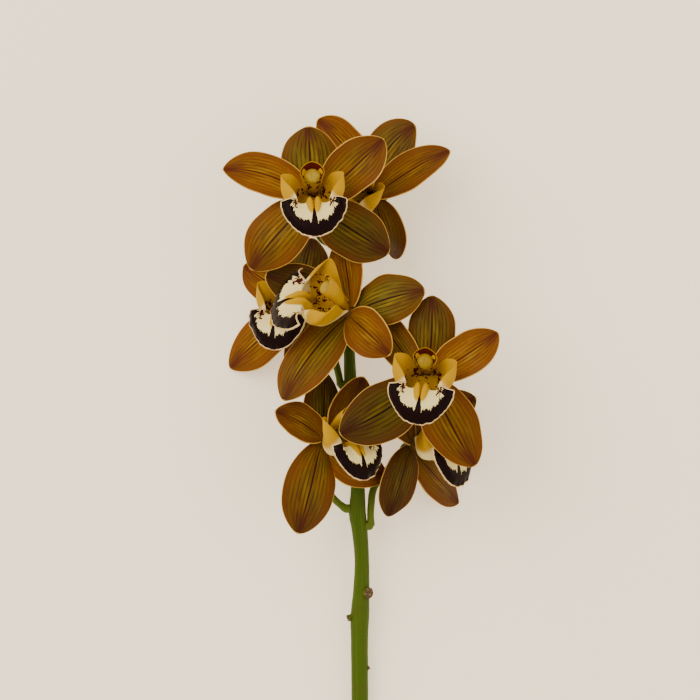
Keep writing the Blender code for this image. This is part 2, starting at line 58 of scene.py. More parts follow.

# Each flower, in mm: its hub, the way it faces, the way its top sepal points, its stalk and its tepals.
# A tepal: tip from the hub, width, bow, cup, sweep, roll, a tint from olive (0) to amber (1), and a tone, a
# brightness that paints shade on the tepals lying in shadow behind others.
flowers = {
    "flower_1": {
        "hub": (-20.0, 81.0, 66.0),
        "facing": (0.02, 0.2, 1.0),
        "up": (-0.05, 1.0, 0.0),
        "stalkVia": [(-16.0, 61.0, 48.0)],
        "dorsal_sepal": ((-2.5, 38.8, -4.0), 34.0, 2.0, -0.2, 0.0, 0.0, 0.15, 0.86),
        "left_petal": ((-48.0, 15.5, 1.0), 25.0, 3.0, 0.3, -4.5, 0.0, 0.85, 1.0),
        "right_petal": ((38.0, 31.5, 5.0), 29.5, 3.0, 0.3, 0.0, 0.0, 0.6, 0.8),
        "left_lateral_sepal": ((-33.0, -37.5, -8.0), 33.5, 2.0, -0.2, -2.0, 0.0, 0.5, 0.86),
        "right_lateral_sepal": ((40.5, -29.0, -5.0), 33.5, 2.0, -0.2, 0.0, 0.0, 0.2, 0.6),
    },
    "flower_2": {
        "hub": (12.0, 85.0, 30.0),
        "facing": (-0.5, 0.1, 0.88),
        "up": (0.5, 0.85, 0.0),
        "stalkY": 42.0,
        "stalkSide": (0.3, 0.0, -1.0),
        "stalkVia": [(0.0, 56.0, 22.0), (6.0, 70.5, 10.5), (18.0, 83.0, 17.0)],
        "dorsal_sepal": ((24.0, 37.0, 2.0), 33.0, 1.0, -0.2, 6.0, 0.0, 0.2, 0.8),
        "left_petal": ((-29.5, 41.0, -6.0), 28.0, 2.0, 0.3, -4.0, 0.0, 0.9, 1.05),
        "right_petal": ((42.5, 22.5, 14.0), 23.0, 2.0, 0.3, 3.5, 0.0, 0.75, 0.82),
        "left_lateral_sepal": ((-36.0, -14.0, -29.2), 24.0, 1.0, -0.15, -2.0, 0.0, 0.3, 0.7),
        "right_lateral_sepal": ((9.5, -29.5, -28.8), 29.0, 1.0, -0.15, 4.5, 0.0, 0.45, 0.62),
    },
    "flower_3": {
        "hub": (-0.5, 20.5, 63.0),
        "facing": (-0.6, 0.1, 0.78),
        "up": (1.0, -0.08, 0.0),
        "lipFacing": (-0.76, 0.42, 0.5),
        "lipUp": (0.65, 0.45, 0.61),
        "lipSize": 1.12,
        "stalkY": 6.0,
        "stalkSide": (0.3, 0.0, 1.0),
        "stalkVia": [(4.5, 12.0, 47.0), (4.5, 19.0, 54.0)],
        "dorsal_sepal": ((40.5, 11.0, 9.0), 30.0, 2.0, -0.2, 2.0, 0.0, 0.1, 0.84),
        "left_petal": ((-3.0, 39.5, -15.0), 22.5, 2.0, 0.25, 0.0, 32.0, 0.8, 0.95),
        "right_petal": ((22.0, -23.0, 14.0), 28.0, 3.0, 0.3, 3.0, 0.0, 0.9, 0.88),
        "left_lateral_sepal": ((-45.0, 20.0, -8.0), 27.0, 0.4, -0.2, 0.0, 0.0, 0.1, 0.55),
        "right_lateral_sepal": ((-34.5, -48.0, -6.0), 34.0, 2.0, -0.2, -3.5, 0.0, 0.35, 0.84),
    },
    "flower_4": {
        "hub": (-27.0, 26.0, 25.0),
        "facing": (-0.55, 0.08, 0.83),
        "up": (0.1, 1.0, 0.0),
        "lipFacing": (-0.46, 0.03, 0.88),
        "stalkY": -19.0,
        "stalkSide": (-1.0, 0.0, -0.1),
        "stalkVia": [(-7.0, -10.0, 30.0), (-12.0, 8.0, 21.5), (-18.0, 21.0, 16.5)],
        "dorsal_sepal": ((7.0, 35.0, -10.0), 27.0, 2.0, -0.2, 0.0, 26.0, 0.1, 0.7),
        "left_petal": ((-31.0, 20.5, -10.0), 25.0, 2.0, 0.3, 0.0, 0.0, 0.9, 1.05),
        "right_petal": ((30.0, 15.5, -2.5), 19.0, 2.0, 0.25, -1.0, 0.0, 0.7, 0.8),
        "left_lateral_sepal": ((-39.0, -36.0, -23.4), 30.0, 1.0, -0.15, -1.5, 0.0, 0.7, 1.0),
        "right_lateral_sepal": ((-4.0, -45.0, -16.0), 26.0, 1.0, -0.15, 0.0, 0.0, 0.3, 0.7),
    },
    "flower_5": {
        "hub": (41.0, -13.5, 69.0),
        "facing": (-0.1, 0.03, 1.0),
        "up": (0.12, 1.0, 0.0),
        "stalkY": -45.5,
        "stalkSide": (0.8, 0.0, 0.6),
        "stalkVia": [(10.5, -43.5, 38.0), (19.0, -35.5, 47.5), (35.0, -19.0, 54.0)],
        "dorsal_sepal": ((2.7, 42.5, -1.0), 28.0, 2.0, -0.2, -1.0, 0.0, 0.3, 0.62),
        "left_petal": ((-27.5, 35.0, -9.0), 21.0, 1.0, 0.3, 0.0, 0.0, 0.5, 0.75),
        "right_petal": ((38.0, 22.5, 3.0), 25.0, 3.0, 0.3, 0.0, 0.0, 0.95, 1.0),
        "left_lateral_sepal": ((-46.5, -31.0, 5.0), 33.0, 2.0, -0.2, 2.0, 0.0, 0.1, 0.48),
        "right_lateral_sepal": ((26.0, -48.5, -4.0), 32.0, 2.0, -0.2, -1.0, 0.0, 0.65, 0.86),
    },
    "flower_6": {
        "hub": (-13.5, -48.6, 45.5),
        "facing": (0.58, 0.18, 0.78),
        "up": (0.1, 1.0, 0.0),
        "lipFacing": (0.64, 0.2, 0.74),
        "lipUp": (-0.05, 1.0, 0.0),
        "stalkY": -87.0,
        "stalkSide": (-1.0, 0.0, 0.0),
        "stalkVia": [(-10.0, -80.0, 20.0), (-19.0, -64.0, 27.0), (-20.0, -52.0, 36.0)],
        "dorsal_sepal": ((-1.6, 37.0, -8.0), 25.0, 2.0, -0.2, 0.0, 0.0, 0.25, 0.62),
        "left_petal": ((-27.0, 15.5, 9.0), 23.0, 2.0, 0.3, -1.0, 0.0, 0.75, 0.7),
        "right_petal": ((20.5, 34.0, -10.0), 26.0, 1.0, 0.3, 0.0, 0.0, 0.75, 0.6),
        "left_lateral_sepal": ((-14.8, -50.5, 1.5), 33.0, 2.0, -0.2, 0.0, 24.0, 0.5, 0.68),
        "right_lateral_sepal": ((33.0, -20.5, -16.0), 27.0, 1.0, -0.2, 0.0, 0.0, 0.8, 0.85),
    },
    "flower_7": {
        "hub": (35.0, -51.5, 33.0),
        "facing": (0.62, 0.2, 0.74),
        "up": (0.3, 1.0, 0.0),
        "lipFacing": (0.78, 0.16, 0.6),
        "lipUp": (0.1, 1.0, 0.0),
        "stalkY": -97.0,
        "stalkSide": (1.0, 0.0, 0.1),
        "stalkVia": [(11.5, -86.0, 17.5), (14.0, -74.0, 16.5), (26.0, -60.0, 18.5)],
        "dorsal_sepal": ((34.0, 25.0, -16.0), 26.0, 1.0, -0.2, 0.0, 0.0, 0.5, 0.6),
        "left_petal": ((-21.0, 25.0, -6.0), 21.0, 1.0, 0.3, 0.0, 0.0, 0.7, 0.62),
        "right_petal": ((32.0, -12.0, -18.0), 19.0, 1.0, 0.3, 0.0, 0.0, 0.8, 0.75),
        "left_lateral_sepal": ((-14.6, -39.0, -3.0), 24.0, 2.0, -0.2, 0.0, 20.0, 0.45, 0.42),
        "right_lateral_sepal": ((24.5, -33.0, -31.8), 24.0, 1.0, -0.15, 0.0, 0.0, 0.7, 0.66),
    },
}


def onScreen(red, green, blue):
    # A colour as it looks on screen, 0 to 255, turned into Blender's linear one
    shares = [value / 255 for value in (red, green, blue)]
    return tuple(s / 12.92 if s < 0.04 else ((s + 0.055) / 1.055) ** 2.4 for s in shares) + (1.0,)


# Small helpers for node trees

def addNode(tree, kind, **settings):
    node = tree.nodes.new(kind)
    for name, value in settings.items():
        setattr(node, name, value)
    return node


def feed(socket, value):
    if isinstance(value, bpy.types.NodeSocket):
        socket.id_data.links.new(value, socket)
    else:
        socket.default_value = value


def feedAll(node, **values):
    for name, value in values.items():
        feed(node.inputs[name], value)
    return node.outputs


def calc(tree, operation, first, second=0.0, third=0.0):
    node = addNode(tree, "ShaderNodeMath", operation=operation)
    for socket, value in zip(node.inputs, (first, second, third)):
        feed(socket, value)
    return node.outputs[0]


def times(tree, first, second):
    return calc(tree, "MULTIPLY", first, second)


def plus(tree, first, second):
    return calc(tree, "ADD", first, second)


def minus(tree, first, second):
    return calc(tree, "SUBTRACT", first, second)


def ramp(tree, value, low, high, toLow=0.0, toHigh=1.0):
    # A soft step from toLow to toHigh while value goes from low to high
    node = addNode(tree, "ShaderNodeMapRange", interpolation_type="SMOOTHSTEP")
    for socket, given in zip(node.inputs, (value, low, high, toLow, toHigh)):
        feed(socket, given)
    return node.outputs[0]


def blendColours(tree, share, first, second, mode="MIX"):
    # A colour is a socket, or red, green and blue as on screen
    node = addNode(tree, "ShaderNodeMix", data_type="RGBA", blend_type=mode)
    feed(node.inputs[0], share)
    for socket, value in zip(node.inputs[6:8], (first, second)):
        feed(socket, onScreen(*value) if isinstance(value, tuple) else value)
    return node.outputs[2]


def cloud(tree, vector, scale, detail=3.0, roughness=0.55):
    node = addNode(tree, "ShaderNodeTexNoise")
    return feedAll(node, Vector=vector, Scale=scale, Detail=detail, Roughness=roughness)[0]


def cellsAway(tree, vector, scale):
    # How far each place is from the middle of its cell
    node = addNode(tree, "ShaderNodeTexVoronoi", feature="F1")
    return feedAll(node, Vector=vector, Scale=scale)["Distance"]


def stretched(tree, vector, scale):
    return feedAll(addNode(tree, "ShaderNodeMapping"), Vector=vector, Scale=scale)[0]


def streaky(tree, surface, across, along, detail=3.0, roughness=0.55):
    # A cloud stretched over the piece's UV map
    return cloud(tree, stretched(tree, surface, (across, along, 1.0)), 1.0, detail, roughness)


def readSurface(tree):
    return addNode(tree, "ShaderNodeUVMap", uv_map="UVMap").outputs[0]


def splitSurface(tree, surface):
    # Across the piece and along it, each 0 to 1
    parts = addNode(tree, "ShaderNodeSeparateXYZ")
    feed(parts.inputs[0], surface)
    return parts.outputs[0], parts.outputs[1]


def readPlace(tree):
    return addNode(tree, "ShaderNodeTexCoord").outputs["Object"]


def readValue(tree, name):
    return addNode(tree, "ShaderNodeAttribute", attribute_name=name).outputs["Fac"]


def newGroup(name, vector, numbers, results):
    tree = bpy.data.node_groups.new(name, "ShaderNodeTree")
    tree.interface.new_socket(name=vector, in_out="INPUT", socket_type="NodeSocketVector")
    for labels, side in ((numbers, "INPUT"), (results, "OUTPUT")):
        for label in labels:
            tree.interface.new_socket(name=label, in_out=side, socket_type="NodeSocketFloat")
    return tree, addNode(tree, "NodeGroupInput").outputs, addNode(tree, "NodeGroupOutput").inputs


def useGroup(tree, group, **values):
    return feedAll(addNode(tree, "ShaderNodeGroup", node_tree=group), **values)


def buildVeinGroup():
    # Fine lines that run along a petal, each one broken and fading as real veins do
    settings = ("Count", "Width", "Wobble", "Shift")
    tree, given, out = newGroup("petalVeins", "Surface", settings, ("Lines", "Between"))
    sideways = splitSurface(tree, given["Surface"])[0]
    drift = cloud(tree, stretched(tree, given["Surface"], (5.0, 2.4, 1.0)), 1.6, 2.0)
    drift = times(tree, minus(tree, drift, 0.5), given["Wobble"])
    place = times(tree, plus(tree, sideways, drift), given["Count"])
    place = calc(tree, "FRACT", plus(tree, place, given["Shift"]))
    away = calc(tree, "ABSOLUTE", minus(tree, place, 0.5))
    fade = streaky(tree, given["Surface"], 26.0, 5.0, 2.0)
    lines = times(tree, ramp(tree, away, given["Width"], 0.03), ramp(tree, fade, 0.32, 0.52))
    streaks = cloud(tree, stretched(tree, given["Surface"], (17.0, 2.2, 3.0)), 1.0, 3.0)
    between = times(tree, ramp(tree, away, 0.16, 0.42), ramp(tree, streaks, 0.42, 0.66))
    feed(out["Lines"], lines)
    feed(out["Between"], between)
    return tree


def buildSpeckGroup():
    # Scattered dark spots of uneven size
    tree, given, out = newGroup("specks", "Place", ("Scale", "Amount"), ("Spots",))
    cells = cellsAway(tree, given["Place"], given["Scale"])
    size = cloud(tree, given["Place"], times(tree, given["Scale"], 0.45), 2.0)
    reach = times(tree, ramp(tree, size, 0.4, 0.66), given["Amount"])
    spots = calc(tree, "LESS_THAN", cells, reach)
    feed(out["Spots"], spots)
    return tree


def buildSkinGroup():
    # The waxy, finely pitted skin of a petal or a stalk, as a height in mm
    tree, given, out = newGroup("plantSkin", "Place", ("Cell",), ("Height", "Mottle"))
    fine = times(tree, cellsAway(tree, given["Place"], given["Cell"]), -0.05)
    wide = cloud(tree, given["Place"], 260.0, 4.0)
    feed(out["Height"], plus(tree, fine, times(tree, wide, 0.16)))
    feed(out["Mottle"], cloud(tree, given["Place"], 90.0, 4.0))
    return tree


veinGroup = buildVeinGroup()
speckGroup = buildSpeckGroup()
skinGroup = buildSkinGroup()


def newMaterial(name, roughness, specular):
    material = bpy.data.materials.new(name)
    material.use_nodes = True
    tree = material.node_tree
    shader = tree.nodes["Principled BSDF"]
    shader.inputs["Roughness"].default_value = roughness
    shader.inputs["Specular IOR Level"].default_value = specular
    return material, tree, shader


def finishMaterial(shader, colour, height, depth):
    feed(shader.inputs["Base Color"], colour)
    bump = addNode(shader.id_data, "ShaderNodeBump")
    relief = feedAll(bump, Strength=1.0, Distance=depth, Height=height)
    feed(shader.inputs["Normal"], relief[0])


tepalFinish = {
    "olive": (98, 80, 8),
    "amber": (128, 78, 12),
    "edgeBrown": (96, 42, 10),
    "tipRed": (74, 20, 10),
    "streak": (152, 120, 10),
    "vein": (34, 6, 4),
    "veinRed": (62, 18, 4),
    "rim": (206, 160, 64),
    "rimWidth": 0.5,      # mm
    "veins": {"Count": 13, "Width": 0.1, "Wobble": 0.026, "Shift": 0.0},
    "fineVeins": {"Count": 29, "Width": 0.2, "Wobble": 0.01, "Shift": 0.5},
    "backVeins": 0.45,    # how strong the veins are behind, and in front
    "frontVeins": 0.95,
    "backHaze": (126, 84, 40),
}


def makeTepalMaterial(name, back):
    look = tepalFinish
    material, tree, shader = newMaterial(name, 0.5, 0.07)
    surface = readSurface(tree)
    sideways, along = splitSurface(tree, surface)
    skin = useGroup(tree, skinGroup, Place=readPlace(tree), Cell=2600.0)
    fromMiddle = calc(tree, "ABSOLUTE", calc(tree, "MULTIPLY_ADD", sideways, 2.0, -1.0))
    tint = readValue(tree, "tint")
    mottle = minus(tree, skin["Mottle"], 0.5)
    amberShare = plus(tree, tint, times(tree, mottle, 1.2))
    amberShare = plus(tree, amberShare, ramp(tree, fromMiddle, 0.35, 1.0, 0.0, 0.35))
    amberShare = ramp(tree, amberShare, 0.0, 1.0)
    colour = blendColours(tree, amberShare, look["olive"], look["amber"])
    main = useGroup(tree, veinGroup, Surface=surface, **look["veins"])
    fine = useGroup(tree, veinGroup, Surface=surface, **look["fineVeins"])
    inner = times(tree, ramp(tree, fromMiddle, 0.9, 0.3), ramp(tree, along, 0.95, 0.55))
    streaks = times(tree, main["Between"], calc(tree, "MULTIPLY_ADD", inner, 0.5, 0.12))
    colour = blendColours(tree, streaks, colour, look["streak"])
    flushNoise = streaky(tree, surface, 13.0, 2.6)
    outer = times(tree, ramp(tree, fromMiddle, 0.45, 1.0), 0.55)
    colour = blendColours(tree, outer, colour, look["edgeBrown"])
    tipShare = plus(tree, along, times(tree, minus(tree, flushNoise, 0.5), 0.9))
    tip = times(tree, ramp(tree, tipShare, 0.5, 1.0), ramp(tree, fromMiddle, 1.1, 0.2))
    colour = blendColours(tree, times(tree, tip, 0.85), colour, look["tipRed"])
    midWidth = ramp(tree, along, 0.05, 0.95, 0.08, 0.04)
    middle = times(tree, ramp(tree, fromMiddle, midWidth, 0.018), ramp(tree, along, 0.93, 0.7))
    lines = times(tree, main["Lines"], ramp(tree, along, 0.98, 0.7, 0.4, 0.9))
    lines = times(tree, lines, ramp(tree, fromMiddle, 0.8, 0.3, 0.45, 1.0))
    lines = calc(tree, "MAXIMUM", lines, times(tree, fine["Lines"], 0.3))
    lines = calc(tree, "MAXIMUM", lines, middle)
    strength = look["backVeins"] if back else look["frontVeins"]
    veinColour = blendColours(tree, tint, look["vein"], look["veinRed"])
    colour = blendColours(tree, times(tree, lines, strength), colour, veinColour)
    if back:
        colour = blendColours(tree, 0.3, colour, look["backHaze"])
    # Painted shade: each tepal's colour is multiplied by its own brightness, darker for tepals lying in
    # shadow behind others
    colour = blendColours(tree, 1.0, colour, readValue(tree, "shadeTone"), "MULTIPLY")
    rim = plus(tree, readValue(tree, "rim"), times(tree, mottle, 0.5))
    edge = ramp(tree, rim, look["rimWidth"], look["rimWidth"] * 0.3)
    colour = blendColours(tree, times(tree, edge, 0.85), colour, look["rim"])
    feed(shader.inputs["Roughness"], ramp(tree, skin["Mottle"], 0.3, 0.7, 0.42, 0.56))
    height = minus(tree, skin["Height"], times(tree, lines, 0.16))
    finishMaterial(shader, colour, height, 0.0012)
    return material


lipFinish = {
    "cream": (226, 204, 132),
    "yellow": (176, 130, 0),
    # painted shade: the darker yellow deep in the throat
    "throat": (128, 90, 2),
    "maroon": (19, 3, 2),
    "spot": (60, 12, 12),
    "rim": (204, 156, 108),
    "backShadow": (120, 56, 40),
    "rimWidth": 0.65,       # mm of pale edge outside the dark crescent
    "crescent": 7.4,        # mm across at its middle
    "teeth": 9.0,           # mm that its inner edge goes in and out
    "spotAt": (0.7, 1.17),  # the spots' middle: share of the half width, and reach
    "spotSize": (0.3, 0.17),
}


def makeLipMaterial(name, back):
    look = lipFinish
    material, tree, shader = newMaterial(name, 0.46, 0.05)
    surface = readSurface(tree)
    sideways, along = splitSurface(tree, surface)
    place = readPlace(tree)
    skin = useGroup(tree, skinGroup, Place=place, Cell=2200.0)
    across = calc(tree, "MULTIPLY_ADD", sideways, 2.0, -1.0)
    fromMiddle = calc(tree, "ABSOLUTE", across)
    reach = times(tree, along, 2.0)  # 0 to 1 in the throat, 1 to 2 on the apron
    outer = readValue(tree, "outer")
    rim = readValue(tree, "rim")
    ear = readValue(tree, "ear")
    keel = readValue(tree, "keel")
    mottle = minus(tree, skin["Mottle"], 0.5)
    yellowShare = ramp(tree, ear, 0.04, 0.3)
    if not back:
        yellowShare = plus(tree, ramp(tree, ear, 0.02, 0.24), ramp(tree, reach, 0.9, 0.5))
        yellowShare = plus(tree, yellowShare, ramp(tree, keel, 0.08, 0.3))
    yellowShare = plus(tree, yellowShare, times(tree, mottle, 0.5))
    yellowShare = ramp(tree, yellowShare, 0.05, 0.95)
    colour = blendColours(tree, yellowShare, look["cream"], look["yellow"])
    if back:
        shadow = times(tree, ramp(tree, outer, 8.0, 5.0), ramp(tree, reach, 1.0, 1.2))
        colour = blendColours(tree, times(tree, shadow, 0.6), colour, look["backShadow"])
        finishMaterial(shader, colour, skin["Height"], 0.001)
        return material
    # Painted shade: darker yellow deep in the throat and low on its walls, where shade falls
    deep = times(tree, ramp(tree, reach, 0.75, 0.3), ramp(tree, ear, 0.6, 0.2))
    colour = blendColours(tree, times(tree, deep, 0.45), colour, look["throat"])
    specks = useGroup(tree, speckGroup, Place=place, Scale=720.0, Amount=0.72)["Spots"]
    inThroat = times(tree, ramp(tree, reach, 0.86, 0.7), ramp(tree, ear, 0.55, 0.4))
    dark = times(tree, specks, inThroat)
    colour = blendColours(tree, dark, colour, look["spot"])
    teeth = streaky(tree, surface, 20.0, 5.0, 3.0, 0.7)
    teeth = calc(tree, "MULTIPLY_ADD", teeth, look["teeth"], -0.5 * look["teeth"])
    width = ramp(tree, fromMiddle, 0.1, 0.95, look["crescent"], look["crescent"] * 0.84)
    inside = calc(tree, "LESS_THAN", minus(tree, outer, teeth), plus(tree, width, look["rimWidth"]))
    ripple = times(tree, streaky(tree, surface, 30.0, 12.0), 0.7)
    beyondRim = calc(tree, "GREATER_THAN", rim, plus(tree, ripple, look["rimWidth"] - 0.35))
    onApron = calc(tree, "GREATER_THAN", reach, 1.02)
    crescent = times(tree, times(tree, inside, beyondRim), onApron)
    wander = calc(tree, "MULTIPLY_ADD", streaky(tree, surface, 1.0, 22.0), 0.03, -0.015)
    lineAway = calc(tree, "ABSOLUTE", plus(tree, across, wander))
    lineWidth = ramp(tree, reach, 0.95, 1.66, 0.009, 0.06)
    line = calc(tree, "LESS_THAN", lineAway, lineWidth)
    line = times(tree, line, calc(tree, "GREATER_THAN", reach, 0.82))
    patch = streaky(tree, surface, 15.0, 20.0, 2.0)
    spotAway = 0.0
    for value, middle, size in zip((fromMiddle, reach), look["spotAt"], look["spotSize"]):
        away = calc(tree, "DIVIDE", minus(tree, value, middle), size)
        spotAway = plus(tree, spotAway, calc(tree, "POWER", away, 2.0))
    spotAway = calc(tree, "SQRT", spotAway)
    spotEdge = calc(tree, "MULTIPLY_ADD", patch, 7.0, -2.6)
    spots = calc(tree, "LESS_THAN", spotAway, calc(tree, "MINIMUM", spotEdge, 1.0))
    dark = calc(tree, "MAXIMUM", crescent, line)
    colour = blendColours(tree, spots, colour, look["spot"])
    colour = blendColours(tree, dark, colour, look["maroon"])
    pale = times(tree, ramp(tree, rim, 0.7, 0.2), ramp(tree, reach, 0.98, 1.06))
    colour = blendColours(tree, times(tree, pale, 0.8), colour, look["rim"])
    feed(shader.inputs["Roughness"], ramp(tree, skin["Mottle"], 0.3, 0.7, 0.34, 0.5))
    finishMaterial(shader, colour, skin["Height"], 0.001)
    return material


columnFinish = {
    "yellow": (176, 130, 2),
    "foot": (124, 82, 8),
    "hood": (68, 14, 8),
    "speck": (54, 12, 10),
    "cap": (136, 104, 4),
    "capLight": (170, 140, 44),
}


def makeColumnMaterial():
    look = columnFinish
    material, tree, shader = newMaterial("columnWax", 0.4, 0.08)
    place = readPlace(tree)
    skin = useGroup(tree, skinGroup, Place=place, Cell=2400.0)
    under = readValue(tree, "under")
    forward = readValue(tree, "forward")
    mottle = minus(tree, skin["Mottle"], 0.5)
    foot = ramp(tree, plus(tree, forward, mottle), 0.35, 0.05)
    colour = blendColours(tree, foot, look["yellow"], look["foot"])
    dashPlace = stretched(tree, place, (1.0, 0.45, 1.0))
    specks = useGroup(tree, speckGroup, Place=dashPlace, Scale=900.0, Amount=0.95)["Spots"]
    speckled = times(tree, specks, times(tree, ramp(tree, under, 0.45, 0.6), 0.95))
    colour = blendColours(tree, speckled, colour, look["speck"])
    hood = plus(tree, readValue(tree, "hood"), times(tree, mottle, 0.5))
    colour = blendColours(tree, ramp(tree, hood, 0.35, 0.6), colour, look["hood"])
    finishMaterial(shader, colour, skin["Height"], 0.0008)
    return material


def makeCapMaterial():
    look = columnFinish
    material, tree, shader = newMaterial("antherCap", 0.44, 0.1)
    place = readPlace(tree)
    skin = useGroup(tree, skinGroup, Place=place, Cell=2400.0)
    light = times(tree, ramp(tree, skin["Mottle"], 0.4, 0.62), 0.6)
    colour = blendColours(tree, light, look["cap"], look["capLight"])
    specks = useGroup(tree, speckGroup, Place=place, Scale=1300.0, Amount=0.34)["Spots"]
    colour = blendColours(tree, times(tree, specks, 0.6), colour, look["speck"])
    finishMaterial(shader, colour, skin["Height"], 0.0008)
    return material


stemFinish = {  # base, lighter streaks and brownish flush of the greens, the flush colour also painted as shade at each stalk's hub end; light and dark of the dry parts
    "stem": ((60, 76, 8), (86, 100, 18), (72, 58, 14)),
    "stalk": ((80, 92, 20), (106, 114, 38), (78, 46, 14)),
    "cut": ((150, 142, 84), (100, 90, 44)),
    "scar": ((138, 108, 70), (74, 52, 30)),
}


def makeStalkMaterial(name, base, light, flushAndHubShade):
    material, tree, shader = newMaterial(name, 0.48, 0.08)
    surface = readSurface(tree)
    skin = useGroup(tree, skinGroup, Place=readPlace(tree), Cell=1800.0)
    streaks = streaky(tree, surface, 34.0, 3.0, 4.0, 0.6)
    lightShare = times(tree, ramp(tree, streaks, 0.4, 0.66), 0.35)
    colour = blendColours(tree, lightShare, base, light)
    blotch = times(tree, ramp(tree, skin["Mottle"], 0.5, 0.75), 0.3)
    # Painted shade: the stalk's hub end, in the flower's shaded middle, takes the flush colour; elsewhere
    # the flush is random blotches
    blotch = calc(tree, "MAXIMUM", blotch, times(tree, readValue(tree, "hubShadeShare"), 0.9))
    colour = blendColours(tree, blotch, colour, flushAndHubShade)
    feed(shader.inputs["Roughness"], ramp(tree, streaks, 0.3, 0.7, 0.38, 0.52))
    height = plus(tree, skin["Height"], times(tree, streaks, 0.08))
    finishMaterial(shader, colour, height, 0.001)
    return material


def makeCutMaterial(name, base, dark, scale):
    # Dry, fibrous plant tissue: the cut end and the scars
    material, tree, shader = newMaterial(name, 0.75, 0.25)
    place = readPlace(tree)
    fibres = cellsAway(tree, place, scale)
    blotch = cloud(tree, place, scale * 0.3, 4.0)
    share = plus(tree, ramp(tree, fibres, 0.1, 0.6), blotch)
    colour = blendColours(tree, ramp(tree, share, 0.5, 1.3), base, dark)
    finishMaterial(shader, colour, fibres, 0.0006)
    return material


tepalFront = makeTepalMaterial("tepalFront", False)
tepalBack = makeTepalMaterial("tepalBack", True)
lipFront = makeLipMaterial("lipFront", False)
lipBack = makeLipMaterial("lipBack", True)
columnWax = makeColumnMaterial()
capWax = makeCapMaterial()
stemGreen = makeStalkMaterial("stemGreen", *stemFinish["stem"])
stalkGreen = makeStalkMaterial("stalkGreen", *stemFinish["stalk"])
cutEnd = makeCutMaterial("cutEnd", *stemFinish["cut"], 900.0)
scarBrown = makeCutMaterial("scarBrown", *stemFinish["scar"], 700.0)
print("materials made")


# Shapes

def clamp(value):
    return min(max(value, 0.0), 1.0)


def ease(share):
    # Rises from 0 and is level where it reaches 1
    return math.sin(0.5 * math.pi * min(share, 1.0))


def arch(share):
    # 0 at both ends, 1 in the middle
    return math.sin(math.pi * share)


def unevenness(x, y, z):
    return noise.noise(Vector((x, y, z)))


def bezier(start, startPull, endPull, end, t):
    back = 1.0 - t
    return start * back ** 3 + startPull * 3.0 * t * back ** 2 + endPull * 3.0 * t ** 2 * back + end * t ** 3


def smoothRoute(points, t):
    # A Catmull-Rom curve through the points
    spans = len(points) - 1
    place = min(t * spans, spans - 1e-9)
    index = int(place)
    local = place - index
    before, first = points[max(index - 1, 0)], points[index]
    second, after = points[index + 1], points[min(index + 2, spans)]
    return 0.5 * (
        2.0 * first
        + (second - before) * local
        + (2.0 * before - 5.0 * first + 4.0 * second - after) * local ** 2
        + (3.0 * first - before - 3.0 * second + after) * local ** 3
    )


def axesOf(facing, up):
    facing = Vector(facing).normalized()
    up = Vector(up)
    up = (up - facing * up.dot(facing)).normalized()
    return up.cross(facing), up, facing


def named(name):
    # The object just added, with its new name
    piece = bpy.context.object
    piece.name = piece.data.name = name
    return piece


def shapedGrid(name, columns, rows, labels, shapeAt):
    # A grid whose vertices are put in place: for a column and a row, shapeAt gives the place in mm,
    # the place in the UV map and the numbers of the attributes
    bpy.ops.mesh.primitive_grid_add(x_subdivisions=columns, y_subdivisions=rows, size=2.0)
    grid = named(name)
    mesh = grid.data
    surface, values = [], []
    for vertex in mesh.vertices:
        column = round((vertex.co.x + 1.0) * 0.5 * columns)
        row = round((vertex.co.y + 1.0) * 0.5 * rows)
        point, onSurface, numbers = shapeAt(column, row)
        vertex.co = (point + sprayMiddle) * mm
        surface.append(onSurface)
        values.append(numbers)
    for label, numbers in zip(labels, zip(*values)):
        mesh.attributes.new(label, "FLOAT", "POINT").data.foreach_set("value", numbers)
    layer = mesh.uv_layers["UVMap"]
    for loop in mesh.loops:
        layer.data[loop.index].uv = surface[loop.vertex_index]
    return grid


def finishPiece(piece, node, smooth=math.radians(60.0)):
    bpy.ops.object.select_all(action="DESELECT")
    piece.select_set(True)
    bpy.context.view_layer.objects.active = piece
    bpy.ops.object.shade_smooth_by_angle(angle=smooth)
    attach(piece, "root")
    if node:
        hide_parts(node)


def thicken(piece, shape, weights, front, back):
    # Gives a sheet its two skins: full thickness where the weight is 1, thinShare of it where it is 0
    group = piece.vertex_groups.new(name="body")
    for index, weight in enumerate(weights):
        group.add([index], weight, "REPLACE")
    piece.data.materials.append(front)
    piece.data.materials.append(back)
    solidify = piece.modifiers.new("thickness", "SOLIDIFY")
    solidify.thickness = shape["thick"] * mm
    solidify.offset = 0.0
    solidify.vertex_group = group.name
    solidify.thickness_vertex_group = shape["thinShare"]
    solidify.use_even_offset = False
    solidify.material_offset = 1
    solidify.material_offset_rim = 0
    bpy.context.view_layer.objects.active = piece
    bpy.ops.object.modifier_apply(modifier=solidify.name)


seats = {  # angle from straight up at which a tepal leaves its hub, and its start before the hub's middle
    "dorsal_sepal": (0.0, -1.5),
    "left_petal": (72.0, 0.7),
    "right_petal": (-72.0, 0.7),
    "left_lateral_sepal": (144.0, -1.5),
    "right_lateral_sepal": (-144.0, -3.1),
}

tepalShape = {
    "columns": 40,
    "rows": 64,
    "seatRadius": 2.6,
    "claw": 2.9,            # half width where it leaves the hub
    "start": 0.8,           # how much the seat's own direction counts at the start
    "pulls": (0.3, 0.33),   # handles of the middle line, as shares of its length
    "outline": (0.8, 0.66, 0.4005),  # powers at the hub and at the tip, and a divisor that sets its width
    "unevenHalf": 0.03,     # how much the outline wanders, both sides alike
    "unevenEdge": 0.09,     # and each side by itself
    "thick": 1.15,
    "thinShare": 0.42,      # thickness of the rim, as a share of that
    "groove": 0.45,         # depth of the fold along the middle vein
    "grooveWidth": 0.07,    # as a share of the half width
    "pleat": 0.07,
    "pleats": 7.0,
    "edgeWave": 0.7,
    "dents": 0.5,
    "hook": 0.8,            # how far the tip curls forward
    "hookStart": 0.86,      # share of the length
}


